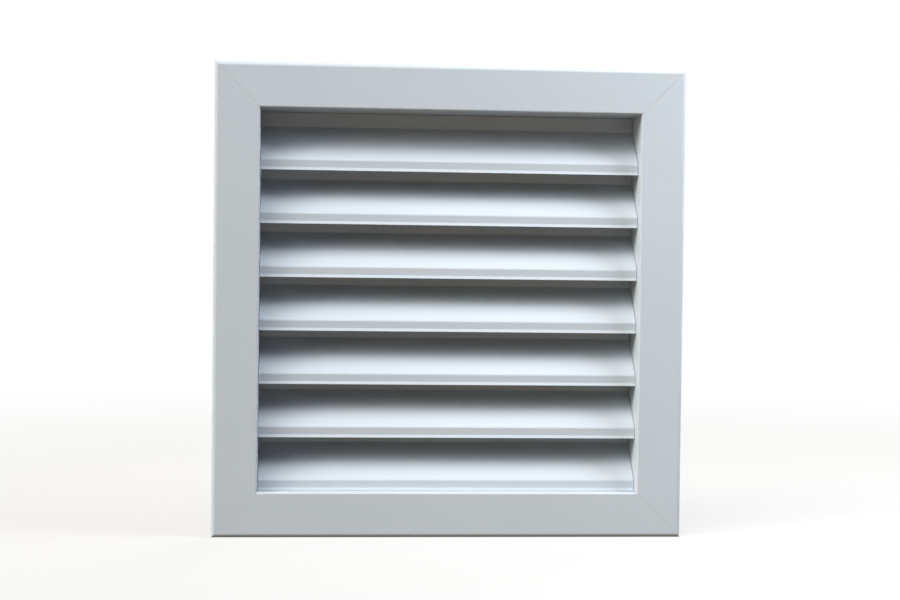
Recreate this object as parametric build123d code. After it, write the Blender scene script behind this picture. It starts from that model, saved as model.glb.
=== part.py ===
from build123d import *
import math
import os

# A weather louvre: a mitred flange frame, seven fixed Z blades and a bird screen behind them.
# Millimetres. The front looks along -Y, +Z is up, and the back of the rim meets the wall at y = 0.
# The origin is the centre of the neck on that wall plane.

# Face
face_width = 360.0
face_height = 360.0
flange_width = 34.2

# Frame section
wall = 1.6
rim_depth = 7.0
rim_radius = 3.0
mouth_radius = 1.2
root_radius = 0.8
rear_return = 12.0
rear_space = 10.4
mitre_gap = 0.1

# Corner keys and the slot that takes them
key_width = 18.0
key_thickness = 1.8
key_leg = 58.0
key_clearance = 0.1
key_corner_radius = 3.0
key_end_chamfer = 2.0
stake_window = 4.0
stake_inset = 12.0
slot_rib = 1.2
slot_hook = 3.0

# Blades
blade_count = 7
blade_thickness = 1.4
lip_height = 8.1
lip_recess = 12.0
slope_run = 26.7
slope_angle = 45.0
upstand_height = 11.0
bend_radius = 0.8
drip_nose = 0.9
drip_height = 2.2
blade_end_clearance = 0.4
head_clearance = 0.4
sill_clearance = 0.2

# Screw ports along the blade's slope
port_width = 6.0
port_depth = 5.2
port_bore_radius = 1.75
port_slot = 2.0
port_front_inset = 9.0
port_rear_inset = 8.0

# Screws
blade_screw_radius = 1.6
blade_screw_length = 14.0
screen_screw_radius = 1.6
screen_screw_length = 10.0
screw_head_radius = 3.6
screw_head_height = 2.2
screw_head_angle = 22.0
screw_hole_clearance = 0.4
pilot_clearance = 0.15
fastener_side_count = 10

# Holes through the jambs for the wall screws
fixing_hole_radius = 2.6
fixing_spacing = 200.0

# Bird screen
wire_diameter = 1.6
wire_side_count = 6
mesh_pitch = 25.0
wire_end_clearance = 0.5
channel_sheet = 0.8
channel_width = 11.0
screen_inset = 1.0
screen_screw_bay_count = 3

# Places that follow from the sizes above
opening_width = face_width - 2 * flange_width
opening_height = face_height - 2 * flange_width
face_y = -rim_depth
flange_back_y = face_y + wall
slope_rise = slope_run * math.tan(math.radians(slope_angle))
slope_length = slope_run / math.cos(math.radians(slope_angle))
blade_height = lip_height + slope_rise + upstand_height
blade_front_y = face_y + lip_recess
blade_back_y = blade_front_y + slope_run + blade_thickness
return_y = blade_back_y + rear_space
neck_back_y = return_y + wall
top_blade_z = opening_height / 2 - head_clearance - blade_height
bottom_blade_z = -opening_height / 2 + sill_clearance
blade_pitch = (top_blade_z - bottom_blade_z) / (blade_count - 1)
neck_half_width = opening_width / 2 + wall
fixing_y = blade_back_y + rear_space / 2
channel_depth = 2 * wire_diameter + 2 * channel_sheet
screen_width = opening_width + 2 * (wall - screen_inset)
screen_height = opening_height + 2 * (wall - screen_inset)
screen_back_y = neck_back_y + channel_depth
screen_screw_offset = screen_screw_bay_count * mesh_pitch


def frame_section():
    # The extrusion across its length: y is depth, the second number is measured in from the rim.
    neck_in = -flange_width
    neck_out = neck_in + wall
    slot_middle = -flange_width / 2
    slot_half = key_width / 2 + key_clearance
    slot_y = flange_back_y + key_thickness + 2 * key_clearance
    hook_y = slot_y + slot_rib
    outline = [
        ((face_y, neck_in), mouth_radius),
        ((face_y, 0), rim_radius),
        ((0, 0), 0),
        ((0, -wall), 0),
        ((flange_back_y, -wall), max(rim_radius - wall, 0)),
    ]
    outline += [((y, slot_middle + v), 0) for y, v in slot_rib_points(slot_half, slot_y, hook_y)]
    outline += [((y, slot_middle - v), 0) for y, v in reversed(slot_rib_points(slot_half, slot_y, hook_y))]
    outline += [
        ((flange_back_y, neck_out), root_radius),
        ((neck_back_y, neck_out), root_radius),
        ((neck_back_y, neck_in - rear_return), 0),
        ((return_y, neck_in - rear_return), 0),
        ((return_y, neck_in), root_radius),
    ]
    points = [point for point, radius in outline]
    radii = [radius for point, radius in outline]
    return make_face(FilletPolyline(*points, radius=radii, close=True))


def slot_rib_points(slot_half, slot_y, hook_y):
    # One hooked rib of the key slot, from its outer foot to its inner foot.
    return [
        (flange_back_y, slot_half + slot_rib),
        (hook_y, slot_half + slot_rib),
        (hook_y, slot_half - slot_hook),
        (slot_y, slot_half - slot_hook),
        (slot_y, slot_half),
        (flange_back_y, slot_half),
    ]


def mitred_bar(section, along, across):
    # The top side of a mitred ring that measures along by across at its outer edge.
    bar = extrude(Plane.YZ * section, along / 2, both=True)
    bar = Pos(0, 0, across / 2) * bar
    for side in (-1, 1):
        end = Plane((side * (along - mitre_gap) / 2, 0, across / 2), z_dir=(side, 0, -1))
        bar = split(bar, bisect_by=end, keep=Keep.BOTTOM)
    return bar


def mitred_ring(section, width, height):
    # Four mitred bars by side.
    level = mitred_bar(section, width, height)
    upright = mitred_bar(section, height, width)
    return {
        "top": level,
        "bottom": Rot(0, 180, 0) * level,
        "left": Rot(0, -90, 0) * upright,
        "right": Rot(0, 90, 0) * upright,
    }


def port_centres():
    # Screw port centres in the blade's own section, front port first.
    angle = math.radians(slope_angle)
    along = Vector(math.cos(angle), math.sin(angle))
    down = Vector(math.sin(angle), -math.cos(angle))
    foot = Vector(0, lip_height) + down * (blade_thickness + port_depth / 2)
    return [foot + along * port_front_inset, foot + along * (slope_length - port_rear_inset)]


def blade_section():
    # The Z section: lip, slope and upstand, with two open screw ports under the slope.
    # The foot of the lip is kicked forward into a drip nose with a flat underside.
    front = [
        Vector(-drip_nose, 0),
        Vector(0, drip_height),
        Vector(0, lip_height),
        Vector(slope_run, lip_height + slope_rise),
        Vector(slope_run, blade_height),
    ]
    shift = blade_thickness * math.tan(math.radians(90 - slope_angle) / 2)
    back = [
        Vector(blade_thickness, 0),
        Vector(blade_thickness, lip_height - shift),
        Vector(slope_run + blade_thickness, lip_height + slope_rise - shift),
        Vector(slope_run + blade_thickness, blade_height),
    ]
    outer = bend_radius + blade_thickness
    radii = [0, bend_radius, outer, bend_radius, 0, 0, outer, bend_radius, 0]
    section = make_face(FilletPolyline(*front, *reversed(back), radius=radii, close=True))
    mouth = Pos(0, -port_depth / 2) * Rectangle(port_slot, port_depth)
    port = Rectangle(port_width, port_depth) - Circle(port_bore_radius) - mouth
    for centre in port_centres():
        section += Pos(centre.X, centre.Y) * Rot(0, 0, slope_angle) * port
    return section


def blade_place(index):
    # The foot of a blade's lip, counted down from the head.
    return Pos(0, blade_front_y, top_blade_z - index * blade_pitch)


def screw(shank_radius, length):
    # A pan head screw along Z, its head on z = 0 and its shank below; flats stand for the round.
    head_base = RegularPolygon(screw_head_radius, fastener_side_count)
    head = extrude(head_base, screw_head_height, taper=screw_head_angle)
    shank = extrude(RegularPolygon(shank_radius, fastener_side_count), -length)
    return head + shank


def blade_screw_places(side):
    # Where the blade screws sit on the outside of one jamb, heads outwards.
    places = []
    for index in range(blade_count):
        for centre in port_centres():
            foot = blade_place(index) * Pos(side * neck_half_width, centre.X, centre.Y)
            places.append(foot * Rot(0, side * 90, 0))
    return places


def screen_screw_places():
    # Two screws on each screen channel, in the middle of a mesh bay, heads to the back.
    middle_x = (screen_width - channel_width) / 2
    middle_z = (screen_height - channel_width) / 2
    spots = []
    for a in (-1, 1):
        for b in (-1, 1):
            spots.append((a * screen_screw_offset, b * middle_z))
            spots.append((a * middle_x, b * screen_screw_offset))
    return [Pos(x, screen_back_y, z) * Rot(-90, 0, 0) for x, z in spots]


def pierce(part, places, profile, depth):
    # Holes of one profile down each place's own axis, from above its seat to the depth below.
    tool = extrude(profile, depth, both=True)
    return part - [place * tool for place in places]


def screw_hole(screw_radius, clearance):
    # A hole whose flats stay clear of the screw by the clearance.
    return RegularPolygon(screw_radius + clearance, fastener_side_count, major_radius=False)


def corner_key():
    # The top right key: an L plate with staking windows, lying in both slots.
    half = key_width / 2
    tip = half - key_leg
    outward = Axis((0, 0, 0), (1, 1, 0))
    outline = [(half, half), (half, tip), (-half, tip), (-half, -half), (tip, -half), (tip, half)]
    plate = make_face(Polyline(*outline, close=True))
    plate = chamfer(plate.vertices().sort_by(outward)[:4], key_end_chamfer)
    plate = fillet(plate.vertices().sort_by(outward)[-1], key_corner_radius)
    window = Rectangle(stake_window, stake_window)
    plate -= [Pos(tip + stake_inset, 0) * window, Pos(0, tip + stake_inset) * window]
    key = extrude(Plane.XZ * plate, -key_thickness)
    corner_x = (face_width - flange_width) / 2
    corner_z = (face_height - flange_width) / 2
    return Pos(corner_x, flange_back_y + key_clearance, corner_z) * key


def channel_section():
    # A U section that opens inwards, its web at the outer edge and its legs flat on the frame's return.
    front = neck_back_y
    back = screen_back_y
    return make_face(
        Polyline(
            (front, -channel_width),
            (front, 0),
            (back, 0),
            (back, -channel_width),
            (back - channel_sheet, -channel_width),
            (back - channel_sheet, -channel_sheet),
            (front + channel_sheet, -channel_sheet),
            (front + channel_sheet, -channel_width),
            close=True,
        )
    )


def wire_layer(length, span):
    # Parallel wires along Z, spaced across X about a middle bay; flats stand for the round, two facing Y.
    pairs = int((span / 2 - channel_width) // mesh_pitch)
    profile = RegularPolygon(wire_diameter / 2, wire_side_count, major_radius=False)
    wire = extrude(profile, length / 2, both=True)
    offsets = [side * (pair + 0.5) * mesh_pitch for pair in range(pairs) for side in (-1, 1)]
    return [Pos(offset, 0, 0) * wire for offset in offsets]


def screen_mesh():
    # Two crossed layers of wire, flat against flat where they are welded and where the channels grip them.
    end = channel_sheet + wire_end_clearance
    first_y = neck_back_y + channel_sheet + wire_diameter / 2
    second_y = first_y + wire_diameter
    upright = [Pos(0, first_y, 0) * wire for wire in wire_layer(screen_height - 2 * end, screen_width)]
    level = [
        Pos(0, second_y, 0) * Rot(0, 90, 0) * wire
        for wire in wire_layer(screen_width - 2 * end, screen_height)
    ]
    return Compound(upright + level)


nodes = {}

# Frame, pierced for the screen screws, the blade screws and the wall screws
frame = mitred_ring(frame_section(), face_width, face_height)
frame_names = {"head": "top", "sill": "bottom", "jamb_left": "left", "jamb_right": "right"}
pilot_hole = screw_hole(screen_screw_radius, pilot_clearance)
for name, side in frame_names.items():
    nodes[f"frame_{name}"] = pierce(frame[side], screen_screw_places(), pilot_hole, screen_screw_length)
blade_screw_hole = screw_hole(blade_screw_radius, screw_hole_clearance)
for side, name in ((-1, "frame_jamb_left"), (1, "frame_jamb_right")):
    seat = Pos(side * neck_half_width, fixing_y, 0) * Rot(0, side * 90, 0)
    fixing_places = [Pos(0, 0, end * fixing_spacing / 2) * seat for end in (-1, 1)]
    nodes[name] = pierce(nodes[name], blade_screw_places(side), blade_screw_hole, 2 * wall)
    nodes[name] = pierce(nodes[name], fixing_places, Circle(fixing_hole_radius), 2 * wall)

# Corner keys
key = corner_key()
nodes["corner_key_top_right"] = key
nodes["corner_key_top_left"] = mirror(key, about=Plane.YZ)
nodes["corner_key_bottom_right"] = mirror(key, about=Plane.XY)
nodes["corner_key_bottom_left"] = mirror(nodes["corner_key_top_left"], about=Plane.XY)

# Blades and the screws in their ports
blade = extrude(Plane.YZ * blade_section(), opening_width / 2 - blade_end_clearance, both=True)
for index in range(blade_count):
    nodes[f"blade_{index + 1}"] = blade_place(index) * blade
blade_screw = screw(blade_screw_radius, blade_screw_length)
for side, name in ((-1, "left"), (1, "right")):
    nodes[f"blade_screws_{name}"] = Compound([place * blade_screw for place in blade_screw_places(side)])

# Bird screen
channels = mitred_ring(channel_section(), screen_width, screen_height)
channel_hole = screw_hole(screen_screw_radius, screw_hole_clearance)
for side, channel in channels.items():
    pierced = pierce(channel, screen_screw_places(), channel_hole, screen_screw_length)
    nodes[f"screen_channel_{side}"] = pierced
nodes["screen_mesh"] = screen_mesh()
screen_screw = screw(screen_screw_radius, screen_screw_length)
nodes["screen_screws"] = Compound([place * screen_screw for place in screen_screw_places()])

os.makedirs("parts", exist_ok=True)
for name, node in nodes.items():
    export_step(node, f"parts/{name}.step")
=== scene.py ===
import math

import bmesh
import bpy
from mathutils import Matrix, Quaternion, Vector


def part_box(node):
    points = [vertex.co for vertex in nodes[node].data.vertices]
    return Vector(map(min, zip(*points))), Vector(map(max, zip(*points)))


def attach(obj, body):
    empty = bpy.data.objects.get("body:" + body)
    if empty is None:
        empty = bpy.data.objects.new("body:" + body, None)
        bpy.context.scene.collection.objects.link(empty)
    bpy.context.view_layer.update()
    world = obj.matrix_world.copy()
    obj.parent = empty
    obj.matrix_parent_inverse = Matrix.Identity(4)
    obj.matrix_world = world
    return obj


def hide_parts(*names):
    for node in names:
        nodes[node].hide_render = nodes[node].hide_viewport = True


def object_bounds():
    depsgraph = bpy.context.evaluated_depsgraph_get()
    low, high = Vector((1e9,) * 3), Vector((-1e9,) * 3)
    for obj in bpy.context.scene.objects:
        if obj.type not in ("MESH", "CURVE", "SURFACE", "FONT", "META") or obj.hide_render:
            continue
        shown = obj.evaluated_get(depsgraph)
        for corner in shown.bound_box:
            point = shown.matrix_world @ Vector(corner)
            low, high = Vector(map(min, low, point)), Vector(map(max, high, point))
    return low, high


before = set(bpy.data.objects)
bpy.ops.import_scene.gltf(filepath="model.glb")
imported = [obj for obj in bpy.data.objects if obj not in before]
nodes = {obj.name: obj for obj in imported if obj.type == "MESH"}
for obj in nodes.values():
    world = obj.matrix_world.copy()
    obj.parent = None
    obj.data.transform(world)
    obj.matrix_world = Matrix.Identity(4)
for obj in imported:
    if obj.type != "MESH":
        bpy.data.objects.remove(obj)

mm = 0.001
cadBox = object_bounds()
frameBars = sorted(name for name in nodes if name.startswith("frame_"))
cornerKeys = sorted(name for name in nodes if name.startswith("corner_key_"))
blades = sorted(name for name in nodes if name.startswith("blade_") and "screws" not in name)
levelChannels = ["screen_channel_top", "screen_channel_bottom"]
uprightChannels = ["screen_channel_left", "screen_channel_right"]
print("frame loaded:", len(nodes), "CAD nodes,", len(blades), "blades")


def linear(hexColour):  # sRGB hex to the linear values that sockets take
    parts = [int(hexColour[i:i + 2], 16) / 255 for i in (1, 3, 5)]
    return [c / 12.92 if c <= 0.04045 else ((c + 0.055) / 1.055) ** 2.4 for c in parts] + [1.0]


def addNode(tree, kind, inputs, **settings):  # a socket among the inputs is linked, anything else is set
    node = tree.nodes.new("ShaderNode" + kind)
    for name, value in settings.items():
        setattr(node, name, value)
    for socket, value in inputs.items():
        if isinstance(value, bpy.types.NodeSocket):
            tree.links.new(value, node.inputs[socket])
        else:
            node.inputs[socket].default_value = value
    return node


def newMaterial(name):
    material = bpy.data.materials.new(name)
    material.use_nodes = True
    return material, material.node_tree, material.node_tree.nodes["Principled BSDF"]


# Polyester powder coat on extruded aluminium: an even silver grey with a broad satin sheen,
# the slight ripple of the cured film, and a faint cloudiness where the film is thicker
coatLook = {
    "thinFilm": "#C0CAD3",
    "thickFilm": "#B7C1CB",
    "filmStart": -0.1,  # film before clouds and grain add their shares: 0 is thin, 1 is thick
    "cloudMm": 60,
    "cloudShare": 0.7,
    "grainMm": 0.8,  # pigment grain, drawn coarser than its 0.05 mm so that it shows
    "grainShare": 0.5,
    "peelMm": 2.4,  # ripple, twice its real 1.2 mm so that it shows
    "peelHeightMm": 0.01,
    "smoothest": 0.38,
    "roughest": 0.50,
    "gloss": 0.2,
}
frameStretch = (1, 1, 1)
bladeStretch = (0.25, 1, 1)  # film lies in bands along a blade


def powderCoat(name, look, stretch):
    material, tree, shader = newMaterial(name)
    place = addNode(tree, "TexCoord", {}).outputs["Object"]
    drawn = addNode(tree, "Mapping", {"Vector": place, "Scale": stretch}).outputs["Vector"]
    cloud = addNode(tree, "TexNoise", {"Vector": drawn, "Scale": 1 / (look["cloudMm"] * mm), "Detail": 3})
    grain = addNode(tree, "TexNoise", {"Vector": place, "Scale": 1 / (look["grainMm"] * mm), "Detail": 1})
    peel = addNode(tree, "TexNoise", {"Vector": place, "Scale": 1 / (look["peelMm"] * mm), "Detail": 1})
    film = addNode(tree, "Math", {0: cloud.outputs["Fac"], 1: look["cloudShare"], 2: look["filmStart"]},
                   operation="MULTIPLY_ADD")
    film = addNode(tree, "Math", {0: grain.outputs["Fac"], 1: look["grainShare"], 2: film.outputs[0]},
                   operation="MULTIPLY_ADD")
    thin, thick = linear(look["thinFilm"]), linear(look["thickFilm"])
    colour = addNode(tree, "Mix", {0: film.outputs[0], 6: thin, 7: thick}, data_type="RGBA")
    sheen = addNode(tree, "MapRange", {0: cloud.outputs["Fac"], 3: look["smoothest"], 4: look["roughest"]})
    ripple = addNode(tree, "Bump", {"Height": peel.outputs["Fac"], "Distance": look["peelHeightMm"] * mm})
    tree.links.new(colour.outputs[2], shader.inputs["Base Color"])
    tree.links.new(sheen.outputs[0], shader.inputs["Roughness"])
    tree.links.new(ripple.outputs[0], shader.inputs["Normal"])
    shader.inputs["Specular IOR Level"].default_value = look["gloss"]
    return material


# Mill finish aluminium: bare, dull white metal with fine die lines along the length it was drawn or cut
millLook = {
    "bright": "#D9DBDC",
    "dull": "#B4B7BA",
    "lineMm": 0.9,  # die lines, coarser than their 0.1 mm so that they show
    "lineLengthMm": 90,
    "lineHeightMm": 0.006,
    "smoothest": 0.28,
    "roughest": 0.46,
}


def millAluminium(name, look, along):
    material, tree, shader = newMaterial(name)
    across, length = 1 / (look["lineMm"] * mm), 1 / (look["lineLengthMm"] * mm)
    lines = [length if axis == along else across for axis in "XYZ"]
    place = addNode(tree, "TexCoord", {}).outputs["Object"]
    drawn = addNode(tree, "Mapping", {"Vector": place, "Scale": lines}).outputs["Vector"]
    streak = addNode(tree, "TexNoise", {"Vector": drawn, "Scale": 1.0, "Detail": 2})
    dull, bright = linear(look["dull"]), linear(look["bright"])
    colour = addNode(tree, "Mix", {0: streak.outputs["Fac"], 6: dull, 7: bright}, data_type="RGBA")
    sheen = addNode(tree, "MapRange", {0: streak.outputs["Fac"], 3: look["roughest"], 4: look["smoothest"]})
    groove = addNode(tree, "Bump", {"Height": streak.outputs["Fac"], "Distance": look["lineHeightMm"] * mm})
    tree.links.new(colour.outputs[2], shader.inputs["Base Color"])
    tree.links.new(sheen.outputs[0], shader.inputs["Roughness"])
    tree.links.new(groove.outputs[0], shader.inputs["Normal"])
    shader.inputs["Metallic"].default_value = 1.0
    return material


# Galvanised wire: grey zinc, matt, with small paler and darker crystals and a grey bloom
zincLook = {
    "pale": "#C4C8CB",
    "dark": "#8E9498",
    "crystalMm": 2.2,
    "bloomMm": 14,
    "smoothest": 0.36,
    "roughest": 0.56,
}


def galvanisedWire(name, look):
    material, tree, shader = newMaterial(name)
    place = addNode(tree, "TexCoord", {}).outputs["Object"]
    crystal = addNode(tree, "TexVoronoi", {"Vector": place, "Scale": 1 / (look["crystalMm"] * mm)})
    bloom = addNode(tree, "TexNoise", {"Vector": place, "Scale": 1 / (look["bloomMm"] * mm), "Detail": 3})
    tone = addNode(tree, "SeparateColor", {"Color": crystal.outputs["Color"]})
    tone = addNode(tree, "Math", {0: tone.outputs[0], 1: bloom.outputs["Fac"]}, operation="MULTIPLY")
    dark, pale = linear(look["dark"]), linear(look["pale"])
    colour = addNode(tree, "Mix", {0: tone.outputs[0], 6: dark, 7: pale}, data_type="RGBA")
    sheen = addNode(tree, "MapRange", {0: bloom.outputs["Fac"], 3: look["smoothest"], 4: look["roughest"]})
    tree.links.new(colour.outputs[2], shader.inputs["Base Color"])
    tree.links.new(sheen.outputs[0], shader.inputs["Roughness"])
    shader.inputs["Metallic"].default_value = 1.0
    return material


# Stainless steel, cold headed and tumbled: brighter than the aluminium, with fine random scuffs
steelLook = {"bright": "#CFCDC9", "dull": "#A9A7A3", "scuffMm": 0.6, "smoothest": 0.22, "roughest": 0.38}


def stainlessSteel(name, look):
    material, tree, shader = newMaterial(name)
    place = addNode(tree, "TexCoord", {}).outputs["Object"]
    scuff = addNode(tree, "TexNoise", {"Vector": place, "Scale": 1 / (look["scuffMm"] * mm), "Detail": 3})
    bright, dull = linear(look["bright"]), linear(look["dull"])
    colour = addNode(tree, "Mix", {0: scuff.outputs["Fac"], 6: bright, 7: dull}, data_type="RGBA")
    sheen = addNode(tree, "MapRange", {0: scuff.outputs["Fac"], 3: look["smoothest"], 4: look["roughest"]})
    tree.links.new(colour.outputs[2], shader.inputs["Base Color"])
    tree.links.new(sheen.outputs[0], shader.inputs["Roughness"])
    shader.inputs["Metallic"].default_value = 1.0
    return material


def dress(names, material):
    for name in names:
        nodes[name].material_slots[0].material = material


dress(frameBars, powderCoat("Satin grey powder coat, frame", coatLook, frameStretch))
dress(blades, powderCoat("Satin grey powder coat, blades", coatLook, bladeStretch))
dress(cornerKeys, millAluminium("Mill aluminium, sheared plate", millLook, "X"))
dress(levelChannels, millAluminium("Mill aluminium, drawn along X", millLook, "X"))
dress(uprightChannels, millAluminium("Mill aluminium, drawn along Z", millLook, "Z"))
zinc = galvanisedWire("Galvanised steel wire", zincLook)
steel = stainlessSteel("Stainless steel, cold headed", steelLook)
dressed = frameBars + blades + cornerKeys + levelChannels + uprightChannels
print("coats and metals on", len(dressed), "CAD nodes")

sharpAngle = math.radians(38)  # edges that bend less are shaded smooth


def addPiece(name, bm, material, slotName, *standsFor):
    bmesh.ops.recalc_face_normals(bm, faces=bm.faces)
    mesh = bpy.data.meshes.new(name)
    bm.to_mesh(mesh)
    bm.free()
    mesh.materials.append(material)
    mesh.shade_smooth()
    mesh.set_sharp_from_angle(angle=sharpAngle)
    piece = bpy.data.objects.new(name, mesh)
    bpy.context.scene.collection.objects.link(piece)
    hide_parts(*standsFor)
    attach(piece, "root")
    print(name, "made:", len(mesh.polygons), "faces")
    return piece


# Self-tapping pan head screw along Z, its head seated on z = 0; lengths in mm
screwLook = {
    "sides": 24,
    "head": [(3.6, 0), (3.6, 0.5), (3.42, 1.12), (2.98, 1.68), (2.36, 2.04), (1.8, 2.2)],
    "coreRadius": 1.18,
    "tipLength": 2.4,
    "tipRadius": 0.3,
    "mergeDistance": 0.001,
    "crossArm": 1.55,
    "crossHalfWidth": 0.4,
    "crossDepth": 1.15,
    "crossTaper": 0.55,
    "threadRadius": 1.58,
    "threadSink": 0.1,  # how far the thread's foot lies in the core
    "threadPitch": 1.4,
    "threadHalfFoot": 0.3,  # share of the pitch
    "threadStepsPerTurn": 12,
    "plainNeck": 1,  # under the head
}


def panScrew(look, length):
    bm = bmesh.new()
    axis = {"cent": (0, 0, 0), "axis": (0, 0, 1)}
    core, shoulder = look["coreRadius"], look["tipLength"] - length
    shank = [(look["tipRadius"], -length), (core, shoulder), (core, 0)]
    rim = [bm.verts.new((r * mm, 0, z * mm)) for r, z in shank + look["head"]]
    line = [bm.edges.new(pair) for pair in zip(rim, rim[1:])]
    bmesh.ops.spin(bm, geom=rim + line, angle=2 * math.pi, steps=look["sides"], use_merge=True, **axis)
    bmesh.ops.remove_doubles(bm, verts=bm.verts, dist=look["mergeDistance"] * mm)
    crownZ = look["head"][-1][1] * mm
    bmesh.ops.holes_fill(bm, edges=[e for e in bm.edges if e.is_boundary and e.verts[0].co.z < 0], sides=0)
    crown = [e for e in bm.edges if e.is_boundary]

    # cross recess, sunk into the crown
    arm, half = look["crossArm"] * mm, look["crossHalfWidth"] * mm
    corner = [Vector((arm, -half, crownZ)), Vector((arm, half, crownZ)), Vector((half, half, crownZ))]
    quarters = [Matrix.Rotation(math.radians(90 * turn), 3, "Z") for turn in range(4)]
    star = [bm.verts.new(quarter @ point) for quarter in quarters for point in corner]
    cross = [bm.edges.new((star[i - 1], star[i])) for i in range(len(star))]
    bmesh.ops.bridge_loops(bm, edges=crown + cross)
    sunk = bmesh.ops.extrude_edge_only(bm, edges=cross)["geom"]
    foot = [v for v in sunk if isinstance(v, bmesh.types.BMVert)]
    footEdges = [e for e in sunk if isinstance(e, bmesh.types.BMEdge) and e.is_boundary]
    taper = look["crossTaper"]
    bmesh.ops.scale(bm, verts=foot, vec=(taper, taper, 1))
    bmesh.ops.translate(bm, verts=foot, vec=(0, 0, -look["crossDepth"] * mm))
    bmesh.ops.edgeloop_fill(bm, edges=footEdges)

    # thread, one ridge wound around the core
    pitch, steps = look["threadPitch"] * mm, look["threadStepsPerTurn"]
    turns = int((length - look["tipLength"] - look["plainNeck"]) * mm / pitch)
    start, halfFoot = shoulder * mm, look["threadHalfFoot"] * pitch
    root = (core - look["threadSink"]) * mm
    tooth = [(root, start - halfFoot), (look["threadRadius"] * mm, start), (root, start + halfFoot)]
    flank = [bm.verts.new((r, 0, z)) for r, z in tooth]
    ridge = [bm.edges.new((flank[i - 1], flank[i])) for i in range(3)]
    before = set(bm.edges)
    bmesh.ops.spin(bm, geom=flank + ridge, angle=2 * math.pi * turns, steps=steps * turns,
                   dvec=(0, 0, pitch / steps), **axis)
    ends = [e for e in bm.edges if e.is_boundary and (e not in before or e in ridge)]
    bmesh.ops.holes_fill(bm, edges=ends, sides=3)
    bmesh.ops.recalc_face_normals(bm, faces=bm.faces)
    mesh = bpy.data.meshes.new("screw")
    bm.to_mesh(mesh)
    bm.free()
    return mesh


def screwGroup(name, screwMesh, places):
    bm = bmesh.new()
    for place in places:
        mark = len(bm.verts)
        bm.from_mesh(screwMesh)
        bm.verts.ensure_lookup_table()
        bmesh.ops.transform(bm, matrix=place, verts=bm.verts[mark:])
    return addPiece(name + "_cross_recessed", bm, steel, "screw_steel", name)


# Blade screws stand on the jambs' outside, two to a blade end, on the axes of the blade's screw ports
bladeScrew = {
    "length": 14,
    "seatInset": 32.6,  # from the face's outer edge to the outside of the jamb
    "ports": [(18.908, 11.636), (4.229, 26.315)],  # each axis in front of a blade's back and above its foot
    "turns": (37, 61, 11),  # degrees by blade, port and side, so that the recesses stand as driven
}
bladeScrewMesh = panScrew(screwLook, bladeScrew["length"])
bladeTurn, portTurn, sideTurn = bladeScrew["turns"]
for side, sideName in ((-1, "left"), (1, "right")):
    seatX = side * (cadBox[1].x - bladeScrew["seatInset"] * mm)
    spots = []
    for number, name in enumerate(blades):
        low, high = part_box(name)
        for portNumber, (fromBack, rise) in enumerate(bladeScrew["ports"]):
            turn = math.radians(bladeTurn * number + portTurn * portNumber + sideTurn * side)
            heading = Matrix.Rotation(turn, 4, "Z")
            seat = Matrix.Translation((seatX, high.y - fromBack * mm, low.z + rise * mm))
            spots.append(seat @ Matrix.Rotation(side * math.pi / 2, 4, "Y") @ heading)
    screwGroup("blade_screws_" + sideName, bladeScrewMesh, spots)

# Screen screws hold the channels, heads to the back
screenScrew = {"length": 10, "offset": 75, "turn": 53}
screenScrewMesh = panScrew(screwLook, screenScrew["length"])
spots = []
for name in levelChannels + uprightChannels:
    low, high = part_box(name)
    middle = (low + high) / 2
    run = Vector((1, 0, 0)) if name in levelChannels else Vector((0, 0, 1))
    for way in (-1, 1):
        seat = Vector((middle.x, high.y, middle.z)) + run * way * screenScrew["offset"] * mm
        heading = Matrix.Rotation(math.radians(screenScrew["turn"] * len(spots)), 4, "Z")
        spots.append(Matrix.Translation(seat) @ Matrix.Rotation(-math.pi / 2, 4, "X") @ heading)
screwGroup("screen_screws", screenScrewMesh, spots)

# Bird screen: two layers of round wire with a weld where they cross
screenLook = {
    "wire": 1.6,
    "wireSides": 14,
    "pitch": 25,
    "pairs": 5,
    "weldRadius": 1.0,
    "weldDepth": 0.7,
    "weldSubdivisions": 2,
}
low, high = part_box("screen_mesh")
radius = screenLook["wire"] / 2 * mm
uprightY, levelY = low.y + radius, high.y - radius
pitch = screenLook["pitch"] * mm
steps = [side * (pair + 0.5) * pitch for pair in range(screenLook["pairs"]) for side in (-1, 1)]
wire = {"cap_ends": True, "segments": screenLook["wireSides"], "radius1": radius, "radius2": radius}
weldRadius, weldDepth = screenLook["weldRadius"] * mm, screenLook["weldDepth"] * mm
weldSize = Matrix.Diagonal((weldRadius, weldDepth, weldRadius, 1))
bm = bmesh.new()
for step in steps:
    upright = Matrix.Translation((step, uprightY, 0))
    level = Matrix.Translation((0, levelY, step)) @ Matrix.Rotation(math.pi / 2, 4, "Y")
    bmesh.ops.create_cone(bm, depth=high.z - low.z, matrix=upright, **wire)
    bmesh.ops.create_cone(bm, depth=high.x - low.x, matrix=level, **wire)
    for other in steps:
        weld = Matrix.Translation((step, (uprightY + levelY) / 2, other)) @ weldSize
        bmesh.ops.create_icosphere(bm, subdivisions=screenLook["weldSubdivisions"], radius=1, matrix=weld)
addPiece("screen_mesh_welded", bm, zinc, "mesh_wire", "screen_mesh")

# Pale paper floor under the lower edge of the frame: near the object it takes the light and keeps its
# shadow, and farther out it runs into the white of the room; what it throws back up is weaker and warmer
floorLook = {
    "size": 40,  # metres, as are the fade's distances
    "paper": "#C4C3C1",
    "bounce": "#5A4626",
    "roughness": 0.9,
    "nearWhite": 0.6,  # share of plain white that the camera sees at the object
    "farWhite": 1.0,
    "fadeFrom": 0.35,
    "fadeTo": 1.6,
}
plainWhite = (1, 1, 1, 1)


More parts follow.
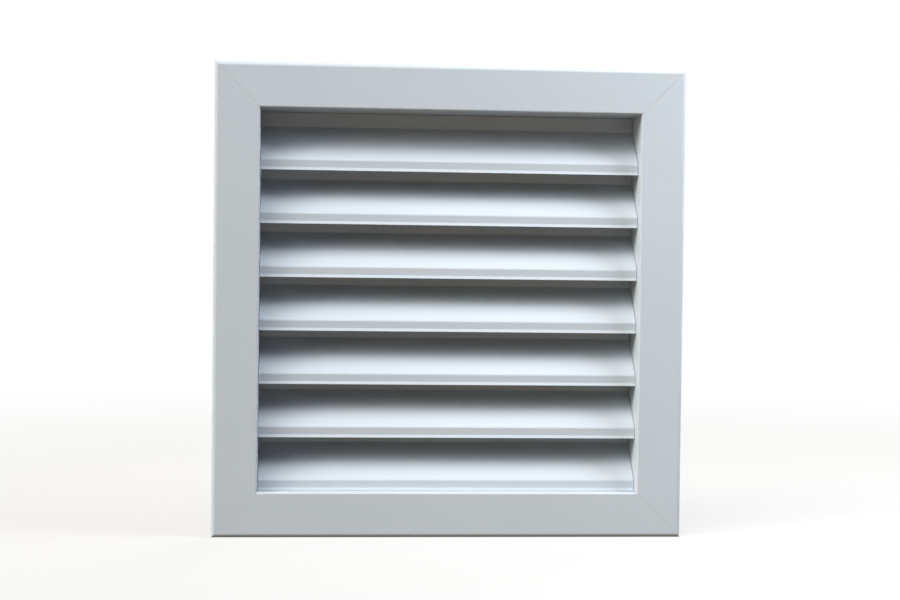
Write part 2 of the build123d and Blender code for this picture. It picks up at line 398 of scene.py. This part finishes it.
def seenRay(tree):  # rays that end in the eye, straight or by way of metal
    ray = addNode(tree, "LightPath", {}).outputs
    seen = addNode(tree, "Math", {0: ray["Is Camera Ray"], 1: ray["Is Glossy Ray"]}, operation="MAXIMUM")
    seen = addNode(tree, "Math", {0: seen.outputs[0], 1: ray["Is Transmission Ray"]}, operation="MAXIMUM")
    return seen.outputs[0]


floorMaterial, tree, shader = newMaterial("Pale studio floor, matt paper")
seen = seenRay(tree)
bounce, paper = linear(floorLook["bounce"]), linear(floorLook["paper"])
colour = addNode(tree, "Mix", {0: seen, 6: bounce, 7: paper}, data_type="RGBA")
place = addNode(tree, "TexCoord", {}).outputs["Object"]
away = addNode(tree, "VectorMath", {0: place}, operation="LENGTH").outputs["Value"]
fade = {1: floorLook["fadeFrom"], 2: floorLook["fadeTo"], 3: floorLook["nearWhite"], 4: floorLook["farWhite"]}
share = addNode(tree, "MapRange", {0: away, **fade}, interpolation_type="SMOOTHSTEP")
share = addNode(tree, "Math", {0: seen, 1: share.outputs[0]}, operation="MULTIPLY")
white = addNode(tree, "Emission", {"Color": plainWhite, "Strength": 1.0})
both = addNode(tree, "MixShader", {0: share.outputs[0], 1: shader.outputs[0], 2: white.outputs[0]})
tree.links.new(colour.outputs[2], shader.inputs["Base Color"])
shader.inputs["Roughness"].default_value = floorLook["roughness"]
tree.links.new(both.outputs[0], tree.nodes["Material Output"].inputs["Surface"])
bm = bmesh.new()
bmesh.ops.create_grid(bm, x_segments=1, y_segments=1, size=floorLook["size"] / 2,
                      matrix=Matrix.Translation((0, 0, cadBox[0].z)))
floorMesh = bpy.data.meshes.new("floor")
bm.to_mesh(floorMesh)
bm.free()
floorMesh.materials.append(floorMaterial)
floor = bpy.data.objects.new("floor", floorMesh)
bpy.context.scene.collection.objects.link(floor)

# Room: a white surround that the camera and the metal see, and a very weak fill for everything else
roomLook = {"fillColour": "#F3F1E6", "fill": 0.01}
world = bpy.data.worlds.new("white room")
bpy.context.scene.world = world
world.use_nodes = True
tree = world.node_tree
fill = addNode(tree, "Background", {"Color": linear(roomLook["fillColour"]), "Strength": roomLook["fill"]})
white = addNode(tree, "Background", {"Color": plainWhite, "Strength": 1.0})
both = addNode(tree, "MixShader", {0: seenRay(tree), 1: fill.outputs[0], 2: white.outputs[0]})
tree.links.new(both.outputs[0], tree.nodes["World Output"].inputs["Surface"])


def outward(azimuth, elevation):  # direction from the object; azimuth is from the front, left negative
    turn, rise = math.radians(azimuth), math.radians(elevation)
    return Vector((math.sin(turn) * math.cos(rise), -math.cos(turn) * math.cos(rise), math.sin(rise)))


def softLight(name, look):
    light = bpy.data.lights.new(name, "AREA")
    light.shape = "RECTANGLE"
    light.size, light.size_y = look["size"]
    light.energy = look["watts"]
    light.color = linear(look["colour"])[:3]
    lamp = bpy.data.objects.new(name, light)
    bpy.context.scene.collection.objects.link(lamp)
    away = outward(look["azimuth"], look["elevation"])
    lamp.location = away * look["distance"]
    lamp.rotation_euler = away.to_track_quat("Z", "Y").to_euler()


# Soft windows on the left, the lowest one warmer, a skylight, a weaker window behind the object,
# and a small weak reflector close on the right; distances and sizes in metres
windowLook = {"distance": 9, "size": (4.2, 4.2)}
reflectorLook = {"distance": 0.9, "size": (0.5, 0.5)}
lightLooks = {
    "window": {"azimuth": -70, "elevation": 28, "watts": 500, "colour": "#FFFAF2", **windowLook},
    "highWindow": {"azimuth": -55, "elevation": 40, "watts": 335, "colour": "#FFFCFC", **windowLook},
    "frontWindow": {"azimuth": -38, "elevation": 30, "watts": 130, "colour": "#F2F8FF", **windowLook},
    "lowWindow": {"azimuth": -75, "elevation": 12, "watts": 155, "colour": "#FFEFB0", **windowLook},
    "skylight": {"azimuth": -10, "elevation": 62, "watts": 345, "colour": "#FFFBF4", **windowLook},
    "windowBehind": {"azimuth": 150, "elevation": 35, "watts": 300, "colour": "#FFFAF2", **windowLook},
    "reflector": {"azimuth": 75, "elevation": 35, "watts": 10, "colour": "#F0F5FF", **reflectorLook},
}
for name, look in lightLooks.items():
    softLight(name, look)
print("floor, room and", len(lightLooks), "lights placed")

# Camera a little left of the face's axis and just above it, rolled slightly as in the photo
cameraLook = {
    "aim": (0, -7, 0),
    "distance": 1260,
    "yaw": -4.63,
    "elevation": 1.27,
    "roll": 0.69,
    "lens": 66.1,
    "sensor": 36,
    "shift": (-0.0008, 0.0025),
}
back = outward(cameraLook["yaw"], cameraLook["elevation"])
roll = Quaternion((0, 0, 1), math.radians(cameraLook["roll"]))
camera = bpy.data.objects.new("camera", bpy.data.cameras.new("camera"))
bpy.context.scene.collection.objects.link(camera)
camera.location = Vector(cameraLook["aim"]) * mm + back * cameraLook["distance"] * mm
camera.rotation_mode = "QUATERNION"
camera.rotation_quaternion = (-back).to_track_quat("-Z", "Y") @ roll
camera.data.lens = cameraLook["lens"]
camera.data.sensor_width = cameraLook["sensor"]
camera.data.shift_x, camera.data.shift_y = cameraLook["shift"]
bpy.context.scene.camera = camera
bpy.context.scene.view_settings.view_transform = "Standard"
print("camera set")
